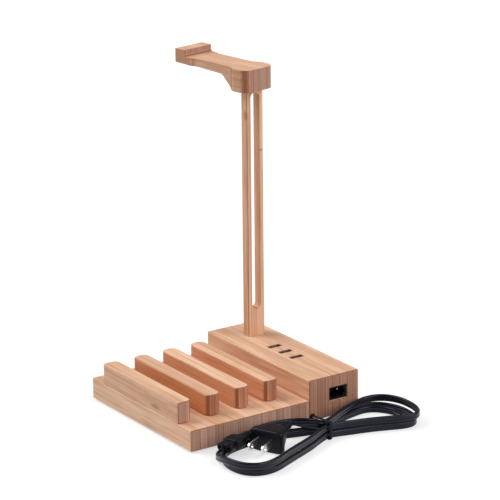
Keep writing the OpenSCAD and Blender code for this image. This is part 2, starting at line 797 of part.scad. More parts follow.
plug_lead_points = [plug_end, plug_end - plug_axis * lead_straight,
    [21.2, 93.4, 11.9], [26.5, 99.6, 11.9], [32.5, 104.6, 11.9]];
plug_lead_rolls = [90, 80, 40, 10, 0];
conn_lead_points = [[25.8, 106.2, 11.9], [18.6, 101.2, 11.7], [12.6, 92, 11.5], [9.4, 79, 11.5], [9.2, 64, 11.4],
    conn_end - conn_axis * lead_straight, conn_end];
conn_lead_rolls = [0, 0, 0, 0, 20, 80, 90];

cord_points = concat(plug_lead_points, hank_points, conn_lead_points);
cord_rolls = concat(plug_lead_rolls, [for (p = hank_points) 0], conn_lead_rolls);
hank_from = len(plug_lead_points);
hank_to = hank_from + len(hank_points) - 1;

module on_floor() { translate([base_w, 0, 0]) children(); }

module plug_lead() {
    color(black) in_frame() on_floor() tube(cord_points, cord_w, cord_t, cord_rolls, 0, hank_from);
}

module connector_lead() {
    color(black) in_frame() on_floor() tube(cord_points, cord_w, cord_t, cord_rolls, hank_to, len(cord_points) - 1);
}

module cord_hank() {
    echo(least_gap = least_gap(), cord_length = route_length(cord_points));
    color(black) in_frame() on_floor() tube(cord_points, cord_w, cord_t, cord_rolls, hank_from, hank_to);
}

function route_length(p, i = 0) = i >= len(p) - 1 ? 0 : norm(p[i + 1] - p[i]) + route_length(p, i + 1);

// The least gap between two stretches of the hank that aren't neighbours along it:
// the larger of what is free between them sideways and what is free up and down
function least_gap() = min([for (i = [0 : len(hank_points) - 1], j = [i + 5 : 1 : len(hank_points) - 2])
    stretch_gap(hank_points[i], hank_points[j], hank_points[j + 1])]);

function stretch_gap(p, a, b) =
    let (ab = [b[0] - a[0], b[1] - a[1]], ap = [p[0] - a[0], p[1] - a[1]],
         t = max(0, min(1, ap * ab / (ab * ab))), q = a + (b - a) * t)
    max(norm([p[0] - q[0], p[1] - q[1]]) - cord_t, abs(p[2] - q[2]) - cord_w);

// A band round the bundle, with its two ends twisted together on the far side

tie_w = 3;
tie_gap = 1;
tail_l = 7;

module cord_tie() {
    low = -1.5 * column_step - cord_t / 2 - tie_gap;
    high = 2.5 * column_step + cord_t / 2 + tie_gap;
    top = floor_lift + layer_step + cord_w + tie_gap;
    along = atan2(waist_far[1], waist_far[0]);
    color(black) in_frame() on_floor() translate([tie_at[0], tie_at[1], 0]) rotate([0, 0, along]) {
        rotate([90, 0, 0]) translate([0, 0, -tie_w / 2]) linear_extrude(tie_w) difference() {
            band([low - tie_wall, 0], [high + tie_wall, top + tie_wall], 2.2);
            band([low, tie_wall], [high, top], 1.2);
        }
        translate([high - 3, 0, top + tie_wall]) for (s = [0, 1]) rotate([0, -5 - 7 * s, 8 - 16 * s])
            translate([0, 0, 0.6]) rotate([0, 90, 0]) cylinder(d = 1.6, h = tail_l - 2 * s);
    }
}

// A rectangle between two corners, with rounded corners
module band(a, b, r) {
    for (x = [a[0] + r, b[0] - r], y = [a[1] + r, b[1] - r]) translate([x, y]) circle(r = r);
    translate([a[0] + r, a[1]]) square([b[0] - a[0] - 2 * r, b[1] - a[1]]);
    translate([a[0], a[1] + r]) square([b[0] - a[0], b[1] - a[1] - 2 * r]);
}

// The plug and the connector, each with X out of its mating face

// A slab with rounded edges round X, from x = 0 to x = l
module pad(w, h, r, l) {
    rotate([90, 0, 90]) linear_extrude(l) band([-w / 2, -h / 2], [w / 2, h / 2], r, $fn = 32);
}

// The round, ribbed and tapered end that the cord leaves through, from x = 1 back to x = -l
module boot(d, end_d, l, ribs) {
    pitch = l / (ribs + 1);
    groove = 0.9;
    function rib_r(k) = (d + (end_d - d) * k / ribs) / 2;
    rotate([0, -90, 0]) rotate_extrude() polygon(concat(
        [[0, -1], [d / 2, -1]],
        [for (k = [0 : ribs - 1]) each let (z = k * pitch, r = rib_r(k))
            [[r, z + 0.55 * pitch], [r - groove, z + 0.55 * pitch], [r - groove, z + pitch], [rib_r(k + 1), z + pitch]]],
        [[end_d / 2, l], [0, l]]));
}

module plug_place() {
    in_frame() on_floor() translate([plug_at[0], plug_at[1], plug_h / 2])
        rotate([0, plug_pitch, plug_turn]) children();
}

blade_l = 16;
blade_in = 8;
blade_h = 6.4;
blade_t = 1.5;
blade_pitch = 12.7;
plate_l = 6;
boot_end_d = cord_w + 1.2;

module plug_body() {
    color(black) plug_place() difference() {
        union() {
            hull() {
                translate([-1, 0, 0]) pad(plug_w - 1.6, plug_h - 1.6, 1.5, 1);
                translate([-plate_l, 0, 0]) pad(plug_w, plug_h, 2.5, plate_l - 1.8);
            }
            hull() {
                translate([-plate_l - 2, 0, 0]) pad(0.9 * plug_w, 0.9 * plug_h, 3, 3);
                translate([-plug_l, 0, 0]) pad(0.55 * plug_w, 0.78 * plug_h, 5, 1);
            }
            translate([-plug_l, 0, 0]) boot(0.66 * plug_h, boot_end_d, boot_l, 4);
        }
        for (s = [-1, 1]) translate([-blade_in, s * blade_pitch / 2 - blade_t / 2 - fit / 2, -blade_h / 2 - fit / 2])
            cube([blade_in + 1, blade_t + fit, blade_h + fit]);
    }
}

module plug_blades() {
    color(steel) plug_place() for (s = [-1, 1]) translate([-blade_in, s * blade_pitch / 2, 0]) difference() {
        rotate([90, 0, 0]) translate([0, 0, -blade_t / 2]) linear_extrude(blade_t)
            polygon([[0, -blade_h / 2], [blade_in + blade_l - 1.5, -blade_h / 2], [blade_in + blade_l, 1 - blade_h / 2],
                [blade_in + blade_l, blade_h / 2 - 1], [blade_in + blade_l - 1.5, blade_h / 2], [0, blade_h / 2]]);
        translate([blade_in + blade_l - 4.5, 0, 0]) rotate([90, 0, 0]) cylinder(d = 3.1, h = 2 * blade_t, center = true);
    }
}

module conn_place() {
    in_frame() on_floor() translate([conn_at[0], conn_at[1], conn_z]) rotate([0, 0, conn_turn]) children();
}

nose_l = 9;
nose_w = 14.2;
nose_d = 8;
sleeve_d = 3.6;
sleeve_l = 11;

module connector_body() {
    color(black) conn_place() difference() {
        union() {
            translate([-nose_l - 1, 0, 0]) eight(nose_w, nose_d, nose_l + 1);
            translate([-conn_l, 0, 0]) pad(conn_w, conn_h, 3, conn_l - nose_l);
            translate([-conn_l, 0, 0]) boot(conn_h - 0.2, boot_end_d, conn_boot_l, 4);
        }
        for (s = [-1, 1]) translate([1 - sleeve_l, s * pin_pitch / 2, 0]) rotate([0, 90, 0])
            cylinder(d = sleeve_d + fit, h = sleeve_l + 1);
    }
}

module connector_sleeves() {
    color(brass) conn_place() for (s = [-1, 1]) translate([1 - sleeve_l, s * pin_pitch / 2, 0]) rotate([0, 90, 0])
        difference() {
            cylinder(d = sleeve_d, h = sleeve_l - 1.5);
            translate([0, 0, 1]) cylinder(d = pin_d + 0.1, h = sleeve_l);
        }
}

// The nodes

base_slab();
divider_1();
divider_2();
divider_3();
divider_4();
divider_screws();
joint_dowels();
rear_housing();
bottom_cover();
cover_screws();
rubber_feet();
post();
post_insert();
post_bolt();
post_washer();
hanger_arm();
circuit_board();
board_spacers();
board_screws();
port_shell_1();
port_shell_2();
port_shell_3();
port_tongue_1();
port_tongue_2();
port_tongue_3();
port_contacts();
transformer_core();
transformer_bobbin();
input_capacitor();
output_capacitors();
suppression_capacitor();
fuse();
bridge_rectifier();
controller_chip();
inlet_body();
inlet_pins();
inlet_wires();
connector_body();
connector_sleeves();
connector_lead();
cord_hank();
cord_tie();
plug_lead();
plug_body();
plug_blades();
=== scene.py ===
# Charging organizer in laminated bamboo with a headphone post, and its tied mains cord.
# Sizes here are in millimetres in the part's frame, and become metres where a mesh is made.

from math import acos, atan2, cos, exp, pi, radians, sin, sqrt

import bmesh
import bpy
from mathutils import Matrix, Vector


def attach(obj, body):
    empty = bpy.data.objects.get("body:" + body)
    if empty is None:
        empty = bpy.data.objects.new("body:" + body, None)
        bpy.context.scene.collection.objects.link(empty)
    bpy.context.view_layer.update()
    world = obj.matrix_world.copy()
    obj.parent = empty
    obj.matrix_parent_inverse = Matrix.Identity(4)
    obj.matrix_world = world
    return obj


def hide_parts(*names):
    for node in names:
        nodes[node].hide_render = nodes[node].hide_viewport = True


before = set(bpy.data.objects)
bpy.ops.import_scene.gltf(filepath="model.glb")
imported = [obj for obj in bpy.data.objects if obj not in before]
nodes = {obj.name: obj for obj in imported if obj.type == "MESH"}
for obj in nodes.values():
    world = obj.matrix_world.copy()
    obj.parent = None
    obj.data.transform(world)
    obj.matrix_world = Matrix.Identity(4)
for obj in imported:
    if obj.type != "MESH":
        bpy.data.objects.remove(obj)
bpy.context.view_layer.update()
scene = bpy.context.scene
MM = 0.001


# Camera

CAMERA_AT = Vector((1792.34, -1166.8, 806.7))
CAMERA_AZIMUTH = radians(55.928)
CAMERA_ELEVATION = radians(17.499)
CAMERA_ROLL = radians(-0.552)
LENS = 189.58
SENSOR_W = 36
CLIP_END = 20


def add_camera():
    back = Vector((sin(CAMERA_AZIMUTH) * cos(CAMERA_ELEVATION),
                   -cos(CAMERA_AZIMUTH) * cos(CAMERA_ELEVATION), sin(CAMERA_ELEVATION)))
    level = Vector((cos(CAMERA_AZIMUTH), sin(CAMERA_AZIMUTH), 0))
    right = level * cos(CAMERA_ROLL) + back.cross(level) * sin(CAMERA_ROLL)
    camera = bpy.data.objects.new("camera", bpy.data.cameras.new("camera"))
    camera.data.lens = LENS
    camera.data.sensor_width = SENSOR_W
    camera.data.clip_end = CLIP_END
    camera.matrix_world = (Matrix.Translation(CAMERA_AT * MM)
                           @ Matrix((right, back.cross(right), back)).transposed().to_4x4())
    scene.collection.objects.link(camera)
    scene.camera = camera


add_camera()


# Meshes

def add_mesh(name, points, faces):
    mesh = bpy.data.meshes.new(name)
    mesh.from_pydata([Vector(p) * MM for p in points], [], faces)
    mesh.validate()
    bm = bmesh.new()
    bm.from_mesh(mesh)
    bmesh.ops.recalc_face_normals(bm, faces=bm.faces)
    bm.to_mesh(mesh)
    bm.free()
    for polygon in mesh.polygons:
        polygon.use_smooth = True
    piece = bpy.data.objects.new(name, mesh)
    scene.collection.objects.link(piece)
    return piece


# A closed skin over rings of the same number of points
def add_loft(name, rings, place=None):
    count = len(rings[0])
    points = [place @ Vector(p) if place else Vector(p) for ring in rings for p in ring]
    faces = [tuple(reversed(range(count))), tuple(range(len(points) - count, len(points)))]
    for i in range(len(rings) - 1):
        for k in range(count):
            a, b = i * count + k, i * count + (k + 1) % count
            faces.append((a, b, b + count, a + count))
    return add_mesh(name, points, faces)


def unit(v):
    return Vector(v).normalized()


def smooth(x):
    t = max(0, min(1, x))
    return t * t * (3 - 2 * t)


def blend(a, b, x):
    return a + (b - a) * smooth(x)


# A smooth curve through points, in which every point stays
def curve_through(points, parts):
    found = []
    last = len(points) - 1
    for i in range(last):
        before, a, b, after = (Vector(points[max(0, min(last, i + k))]) for k in (-1, 0, 1, 2))
        for part in range(parts):
            t = part / parts
            found.append(a + 0.5 * t * (b - before + t * (2 * before - 5 * a + 4 * b - after
                                                         + t * (3 * (a - b) + after - before))))
    return found + [Vector(points[-1])]


UPRIGHT = 0.999


# Rings of a section along points. The section's first coordinate runs sideways and its
# second up at roll 0, and a roll of 90 degrees lays the second one flat.
def rings_along(points, section, rolls):
    rings = []
    last = len(points) - 1
    for i, at in enumerate(points):
        ahead = unit(points[min(i + 1, last)] - points[max(i - 1, 0)])
        side = unit((-ahead[1], ahead[0], 0)) if abs(ahead[2]) < UPRIGHT else Vector((0, -1, 0))
        up = ahead.cross(side)
        c, s = cos(radians(rolls[i])), sin(radians(rolls[i]))
        rings.append([at + side * (p * c - q * s) + up * (p * s + q * c) for p, q in section])
    return rings


# Cord set: the same route and the same sizes as its solids have

CORNER = Vector((104.136, -85, 0))
CORD_W = 6.2
CORD_T = 3.4
TIE_AT = (32, 109.8)
LOBE_TURN = (93, -76)
LOBE_L = (91, 104.5)
LOBE_FAR_W = (28, 34)
LOBE_NEAR_W = (32, 20)
LOBE_FAR_LAG = (2, 1.2)
LOBE_NEAR_LAG = (3.4, 2.6)
LAYER_STEP = CORD_W + 0.8
COLUMN_STEP = CORD_T + 0.9
TIE_WALL = 1
FLOOR_LIFT = TIE_WALL + 0.2
STEPS = 24
INNER = (-12.4, -5.6)
OUTER = 4.4

# Where a lobe's growth and its own level change over, in degrees of its turn
GROWTH_FROM = 190
GROWTH_SPAN = 70
LEVEL_FROM = 125
LEVEL_SPAN = 50

# How many degrees from the tie its columns, levels and lift run out
COLUMN_FROM = 55
COLUMN_SPAN = 55
TIE_LEVEL_SPAN = 50
LIFT_SPAN = 60

# Each lobe: its side, growth, columns and levels at the tie, and own levels
LOBES = [
    (0, INNER, (-0.5, 1.5), (1, 0), (0, 0)),
    (1, (0, 0), (1.5, -1.5), (0, 0), (0, 0)),
    (0, (-4, 0), (-1.5, 2.5), (0, 0), (0, 0)),
    (1, (OUTER, 0), (2.5, -1.5), (0, 1), (0, 1)),
    (0, (-2, -3), (-1.5, 0.5), (1, 1), (1, 1)),
]


# A lobe's width at p degrees, 1 at its widest, which lies the further out, the larger the lag
def swell(p, lag):
    peak = 2 * ((lag + 1) / (lag + 2)) ** ((lag + 1) / 2) / sqrt(lag + 2)
    return sin(radians(p)) * abs(sin(radians(p / 2))) ** lag / peak


def lobe_axis(side):
    return Vector((cos(radians(LOBE_TURN[side])), sin(radians(LOBE_TURN[side]))))


def lobe_far(side):
    axis = lobe_axis(side)
    return (1 if side == 0 else -1) * Vector((-axis[1], axis[0]))


WAIST_FAR = unit(lobe_far(0) + lobe_far(1))


# The cord's middle on a lobe at p degrees, from 0 to 360 round and back to the tie
def lobe_point(side, p, grow, columns, levels, level):
    far = (p < 180) == (side == 1)
    tie_part = min(p, 360 - p)
    end = 0 if p < 180 else 1
    bigger = blend(grow[0], grow[1], (p - GROWTH_FROM) / GROWTH_SPAN)
    out = (LOBE_L[side] + bigger) * (1 - cos(radians(p))) / 2
    width = (LOBE_FAR_W if far else LOBE_NEAR_W)[side] + bigger
    across = width * swell(p, (LOBE_FAR_LAG if far else LOBE_NEAR_LAG)[side]) * (-1 if side == 0 else 1)
    column = blend(columns[end], 0, (tie_part - COLUMN_FROM) / COLUMN_SPAN)
    own = blend(level[0], level[1], (p - LEVEL_FROM) / LEVEL_SPAN)
    high = blend(levels[end], own, tie_part / TIE_LEVEL_SPAN)
    lift = blend(FLOOR_LIFT, 0, tie_part / LIFT_SPAN)
    flat = Vector(TIE_AT) + lobe_axis(side) * out + lobe_far(side) * across + WAIST_FAR * column * COLUMN_STEP
    return Vector((flat[0], flat[1], CORD_W / 2 + high * LAYER_STEP + lift))


hank_points = [lobe_point(lobe[0], 360 * k / STEPS, *lobe[1:])
               for i, lobe in enumerate(LOBES) for k in range(0 if i == 0 else 1, STEPS + 1)]

PLUG_W = 29.5
PLUG_H = 20
PLUG_L = 20
PLUG_BOOT_L = 16
PLUG_AT = Vector((33.2, 51, PLUG_H / 2))
PLUG_TURN = radians(-66)
PLUG_PITCH = radians(4.5)
CONN_W = 15
CONN_H = 9
CONN_L = 22
CONN_BOOT_L = 12
CONN_AT = Vector((27.5, 14, CORD_W + 0.5 + CONN_H / 2))
CONN_TURN = radians(-68)
LEAD_STRAIGHT = 4
PLUG_LEAD_ROLLS = [90, 80, 40, 10, 0]
CONN_LEAD_ROLLS = [0, 0, 0, 0, 20, 80, 90]


def heading(turn, pitch):
    return Vector((cos(turn) * cos(pitch), sin(turn) * cos(pitch), -sin(pitch)))


plug_axis = heading(PLUG_TURN, PLUG_PITCH)
conn_axis = heading(CONN_TURN, 0)
plug_end = PLUG_AT - plug_axis * (PLUG_L + PLUG_BOOT_L)
conn_end = CONN_AT - conn_axis * (CONN_L + CONN_BOOT_L)
plug_lead = [plug_end, plug_end - plug_axis * LEAD_STRAIGHT, (21.2, 93.4, 11.9), (26.5, 99.6, 11.9),
             (32.5, 104.6, 11.9)]
conn_lead = [(25.8, 106.2, 11.9), (18.6, 101.2, 11.7), (12.6, 92, 11.5), (9.4, 79, 11.5), (9.2, 64, 11.4),
             conn_end - conn_axis * LEAD_STRAIGHT, conn_end]
route = [CORNER + Vector(p) for p in plug_lead + hank_points + conn_lead]
route_rolls = PLUG_LEAD_ROLLS + [0] * len(hank_points) + CONN_LEAD_ROLLS

CURVE_PARTS = 4
SECTION_SIDES = 28
GROOVE_DEEP = 0.55
GROOVE_W = 0.9
CORE_FLATNESS = 0.75


# The twin cord's section: two rounded cores with a groove down both flat sides
def cord_section():
    section = []
    for k in range(SECTION_SIDES):
        a = 2 * pi * (k + 0.5) / SECTION_SIDES
        q = CORD_W / 2 * sin(a)
        half = CORD_T / 2 * abs(cos(a)) ** CORE_FLATNESS - GROOVE_DEEP * exp(-(q / GROOVE_W) ** 2)
        section.append((half if cos(a) > 0 else -half, q))
    return section


cord_path = curve_through(route, CURVE_PARTS)
cord_rolls = [route_rolls[i] + (route_rolls[i + 1] - route_rolls[i]) * k / CURVE_PARTS
              for i in range(len(route) - 1) for k in range(CURVE_PARTS)] + [route_rolls[-1]]
cord = add_loft("cord", rings_along(cord_path, cord_section(), cord_rolls))


# Plug and connector

RING_SIDES = 64
RIB_COUNT = 4
RIB_EDGE = 0.4
RIB_GROOVE = 1.8
BOOT_END_D = CORD_W + 1.2
BOOT_END_FROM = 0.3
BOOT_EDGE_L = 0.4
BOOT_EDGE_D = 0.5
PLUG_BOOT_D = 0.66 * PLUG_H
CONN_BOOT_D = CONN_H - 0.2

# A rib and the groove behind it: shares of their pitch, and how much narrower than the rib
RIB_PROFILE = [(0.06, RIB_EDGE), (0.14, 0), (0.46, 0), (0.55, RIB_EDGE), (0.58, RIB_GROOVE), (0.97, RIB_GROOVE)]


# A ring round X whose corners are the squarer, the larger its power
def squared_ring(x, w, h, power):
    ring = []
    for k in range(RING_SIDES):
        a = 2 * pi * (k + 0.5) / RING_SIDES
        c, s = cos(a), sin(a)
        size = (abs(c) ** power + abs(s) ** power) ** (-1 / power)
        ring.append((x, w / 2 * c * size, h / 2 * s * size))
    return ring


# A round, tapered boot with ribs, from x = start to x = start - l
def boot_rings(start, d, l):
    pitch = l / (RIB_COUNT + 1)
    profile = []
    for k in range(RIB_COUNT):
        wide = d + (BOOT_END_D - d) * k / RIB_COUNT
        profile += [((k + share) * pitch, wide - less) for share, less in RIB_PROFILE]
    profile += [(RIB_COUNT * pitch + BOOT_END_FROM, BOOT_END_D), (l - BOOT_EDGE_L, BOOT_END_D),
                (l, BOOT_END_D - BOOT_EDGE_D)]
    return [squared_ring(start - x, size, size, 2) for x, size in profile]


def placed(at, turn, pitch):
    return Matrix.Translation(CORNER + at) @ Matrix.Rotation(turn, 4, "Z") @ Matrix.Rotation(pitch, 4, "Y")


plug_place = placed(PLUG_AT, PLUG_TURN, PLUG_PITCH)
conn_place = placed(CONN_AT, CONN_TURN, 0)

# Each ring in front of a boot: its place, its shares of the width and height, and its power
PLUG_RINGS = [(0, 0.925, 0.9, 7), (-0.25, 0.955, 0.935, 7), (-1, 0.985, 0.98, 8), (-1.9, 1, 1, 9),
              (-5.4, 1, 1, 9), (-5.9, 0.99, 0.98, 8), (-6.1, 0.915, 0.905, 7), (-7.5, 0.9, 0.9, 6),
              (-11, 0.8, 0.87, 5.5), (-15.5, 0.67, 0.82, 5), (-18.8, 0.575, 0.785, 4.5),
              (-19.7, 0.54, 0.75, 4), (-20, 0.48, 0.68, 3)]
CONN_RINGS = [(-9, 0.86, 0.8, 5), (-9.15, 0.93, 0.9, 5), (-9.8, 1, 1, 5.5), (-19.6, 1, 1, 5.5),
              (-21.2, 0.95, 0.98, 4.5), (-21.9, 0.85, 0.96, 4), (-22, 0.62, 0.95, 2.5)]


def moulding(name, rings, w, h, boot, place):
    front = [squared_ring(x, w * wide, h * high, power) for x, wide, high, power in rings]
    return add_loft(name, front + boot, place)


plug = moulding("plug_moulding", PLUG_RINGS, PLUG_W, PLUG_H, boot_rings(-PLUG_L, PLUG_BOOT_D, PLUG_BOOT_L),
                plug_place)
connector = moulding("connector_moulding", CONN_RINGS, CONN_W, CONN_H,
                     boot_rings(-CONN_L, CONN_BOOT_D, CONN_BOOT_L), conn_place)

NOSE_W = 14.2
NOSE_D = 8
NOSE_L = 9
NOSE_WAIST = 0.62
PIN_PITCH = 8.6
HOLE_D = 3.7
HOLE_L = NOSE_L + 0.4
HOLE_SIDES = 32


# The figure-eight outline of the connector's nose, with its sides drawn in by inset
def eight_ring(x, inset):
    r = NOSE_D / 2 - inset
    out = NOSE_W / 2 - NOSE_D / 2
    meet = acos(min(1, NOSE_WAIST * out / r))
    sides = RING_SIDES // 2
    ring = []
    for sign in (1, -1):
        for k in range(sides):
            a = -pi + meet + (2 * pi - 2 * meet) * (k + 0.5) / sides
            ring.append((x, sign * (out + r * cos(a)), sign * r * sin(a)))
    return ring


NOSE_RINGS = [(0, 0.7), (-0.2, 0.3), (-0.7, 0), (-NOSE_L - 0.5, 0)]
nose = add_loft("connector_nose", [eight_ring(x, inset) for x, inset in NOSE_RINGS], conn_place)


# A hole along X at y, from x = 1 back to x = -HOLE_L
def cut_hole(piece, place, y):
    turns = [2 * pi * k / HOLE_SIDES for k in range(HOLE_SIDES)]
    rings = [[(x, y + cos(a) * HOLE_D / 2, sin(a) * HOLE_D / 2) for a in turns] for x in (-HOLE_L, 1)]
    tool = add_loft("hole", rings, place)
    cut = piece.modifiers.new("hole", "BOOLEAN")
    cut.operation = "DIFFERENCE"
    cut.solver = "EXACT"
    cut.object = tool
    shape = bpy.data.meshes.new_from_object(piece.evaluated_get(bpy.context.evaluated_depsgraph_get()))
    piece.modifiers.clear()
    piece.data = shape
    bpy.data.objects.remove(tool)


for sign in (-1, 1):
    cut_hole(nose, conn_place, sign * PIN_PITCH / 2)


# Tie: a flat band round the bundle with a wire down its middle, and its two twisted ends

TIE_GAP = 1
TIE_R = 1.7
TIE_ARC = 8
TIE_COLUMNS = (-1.5, 2.5)
TIE_SECTION = [(-1.5, -0.35), (-1.35, -0.5), (1.35, -0.5), (1.5, -0.35), (1.5, 0.1), (1.3, 0.25), (0.7, 0.25),
               (0.45, 0.5), (-0.45, 0.5), (-0.7, 0.25), (-1.3, 0.25), (-1.5, 0.1)]

# The tails start inside the bundle's side, above its top, and curl down past it
TAIL_L = 7
TAIL_IN = 3
TAIL_UP = 1.2
TAIL_DROP = 7
TAIL_CURL = 0.3
TAIL_SWAY = 0.8
TAIL_R = 0.62
TAIL_TURNS = 2.5
TAIL_STEPS = 32
TAIL_SIDES = 10
TAIL_FLARE = 0.9
FLARE_FROM = 0.8

tie_spare = CORD_T / 2 + TIE_GAP + TIE_WALL / 2
tie_low, tie_high = TIE_COLUMNS[0] * COLUMN_STEP - tie_spare, TIE_COLUMNS[1] * COLUMN_STEP + tie_spare
tie_top = FLOOR_LIFT + LAYER_STEP + CORD_W + TIE_GAP + TIE_WALL / 2
tie_place = (Matrix.Translation(CORNER + Vector((*TIE_AT, 0)))
             @ Matrix.Rotation(atan2(WAIST_FAR[1], WAIST_FAR[0]), 4, "Z"))


# The band's middle line with the direction out of the bundle at each point
def tie_line():
    left, right = tie_low + TIE_R, tie_high - TIE_R
    bottom, top = TIE_WALL / 2 + TIE_R, tie_top - TIE_R
    line = []
    for x, z, start in ((right, bottom, -90), (right, top, 0), (left, top, 90), (left, bottom, 180)):
        for k in range(TIE_ARC + 1):
            a = radians(start + 90 * k / TIE_ARC)
            line.append((x + TIE_R * cos(a), z + TIE_R * sin(a), cos(a), sin(a)))
    return line


def add_tie_band():
    line = tie_line()
    count = len(TIE_SECTION)
    points = [tie_place @ Vector((x + out * p, q, z + up * p))
              for x, z, out, up in line for q, p in TIE_SECTION]
    faces = []
    for i in range(len(line)):
        here, there = i * count, (i + 1) % len(line) * count
        for k in range(count):
            after = (k + 1) % count
            faces.append((here + k, here + after, there + after, there + k))
    return add_mesh("tie_band", points, faces)


# The two ends wind round each other away from the bundle
def add_tie_tail(number):
    points = []
    for k in range(TAIL_STEPS + 1):
        t = k / TAIL_STEPS
        a = pi * number + 2 * pi * TAIL_TURNS * t
        wide = TAIL_R * (1 + TAIL_FLARE * smooth((t - FLARE_FROM) / (1 - FLARE_FROM)))
        points.append(Vector((tie_high - TAIL_IN + TAIL_L * (t - TAIL_CURL * t * t),
                              wide * cos(a) + TAIL_SWAY * sin(2 * t),
                              tie_top + TAIL_UP + wide * sin(a) - TAIL_DROP * t * t)))
    turns = [2 * pi * k / TAIL_SIDES for k in range(TAIL_SIDES)]
    section = [(TAIL_R * cos(a), TAIL_R * sin(a)) for a in turns]
    return add_loft(f"tie_tail_{number + 1}", rings_along(points, section, [0] * len(points)), tie_place)


tie_band = add_tie_band()
tie_tails = [add_tie_tail(number) for number in range(2)]

cord_pieces = [plug, connector, nose, tie_band, *tie_tails]
for piece in [cord, *cord_pieces]:
    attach(piece, "root")
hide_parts("cord_hank", "plug_lead", "connector_lead")
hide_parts("plug_body")
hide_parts("connector_body")
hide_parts("cord_tie")


# Materials

# Screen levels from 0 to 255 as the linear colour that a shader takes
def colour(*levels):
    return [(v / 255 / 12.92 if v < 10 else ((v / 255 + 0.055) / 1.055) ** 2.4) for v in levels] + [1]


def darker(base, share):
    return [v * share for v in base[:3]] + [1]


# A material and short ways to add its nodes
class Look:
    def __init__(self, name, base, roughness, metallic=0, **sockets):
        self.material = bpy.data.materials.new(name)
        self.material.use_nodes = True
        self.tree = self.material.node_tree
        self.shader = self.tree.nodes["Principled BSDF"]
        self.shader.inputs["Base Color"].default_value = base
        self.shader.inputs["Roughness"].default_value = roughness
        self.shader.inputs["Metallic"].default_value = metallic
        for socket, value in sockets.items():
            self.shader.inputs[socket.replace("_", " ")].default_value = value
        found = self.add("ShaderNodeTexCoord").outputs
        self.at, self.outward = found["Object"], found["Normal"]

    def add(self, kind, **settings):
        node = self.tree.nodes.new(kind)
        for key, value in settings.items():
            setattr(node, key, value)
        return node

    def give(self, node, **values):
        for key, value in values.items():
            socket = node.inputs[int(key[1:]) if key[0] == "_" else key]
            if isinstance(value, bpy.types.NodeSocket):
                self.tree.links.new(value, socket)
            else:
                socket.default_value = value
        return node

    def math(self, operation, a, b=0.0):
        return self.give(self.add("ShaderNodeMath", operation=operation), _0=a, _1=b).outputs[0]

    def vector(self, operation, a, b=(0, 0, 0)):
        node = self.give(self.add("ShaderNodeVectorMath", operation=operation), _0=a, _1=b)
        return node.outputs[1 if operation == "LENGTH" else 0]

    def split(self, vector):
        return self.give(self.add("ShaderNodeSeparateXYZ"), Vector=vector).outputs

    def mapped(self, vector, scale=(1, 1, 1), turn=0.0):
        return self.give(self.add("ShaderNodeMapping"), Vector=vector, Scale=scale,
                         Rotation=(0, 0, turn)).outputs[0]

    def stretched(self, *scale):
        return self.mapped(self.at, scale)

    def noise(self, vector, scale=1.0, detail=2.0, roughness=0.5):
        return self.give(self.add("ShaderNodeTexNoise"), Vector=vector, Scale=scale, Detail=detail,
                         Roughness=roughness).outputs[0]

    def step(self, value, low, high, to_low=0.0, to_high=1.0):
        node = self.add("ShaderNodeMapRange", interpolation_type="SMOOTHSTEP")
        return self.give(node, Value=value, _1=low, _2=high, _3=to_low, _4=to_high).outputs[0]

    def mix(self, share, a, b, blend_type="MIX"):
        return self.give(self.add("ShaderNodeMix", data_type="RGBA", blend_type=blend_type),
                         _0=share, _6=a, _7=b).outputs[2]

    def paint(self, value):
        self.give(self.shader, **{"Base Color": value})

    def bump(self, height, distance):
        node = self.give(self.add("ShaderNodeBump"), Height=height, Distance=distance, Strength=1.0)
        self.give(self.shader, Normal=node.outputs[0])

    def put(self, *names):
        for name in names:
            piece = nodes[name] if isinstance(name, str) else name
            piece.data.materials.clear()
            piece.data.materials.append(self.material)


WOOD_LIGHT = colour(245, 206, 176)
WOOD_WARM = colour(227, 176, 138)
WOOD_DARK = colour(170, 106, 66)
# Painted shade: a warm tint multiplied onto faces across the strips, and a dark colour for rounded corners
SHADE_TINT = (0.83, 0.58, 0.41, 1)
CORNER_SHADE = colour(144, 78, 43)
END_LIGHT = colour(214, 172, 152)
END_DARK = colour(150, 105, 88)
NODE_DARK = colour(138, 68, 28)
STRIP_W = 7.6
BLUISH = (0.78, 0.8, 1, 1)


# How much of a darker colour each feature of the wood takes
FIBRE_SHARE = 0.45
STRIP_SHARE = 0.34
SEAM_SHARE = 0.26
MARK_SHARE = 0.5
PORE_SHARE = 0.4
LAYER_SHARE = 0.55
END_STRIP_SHARE = 0.6
END_SEAM_SHARE = 0.6


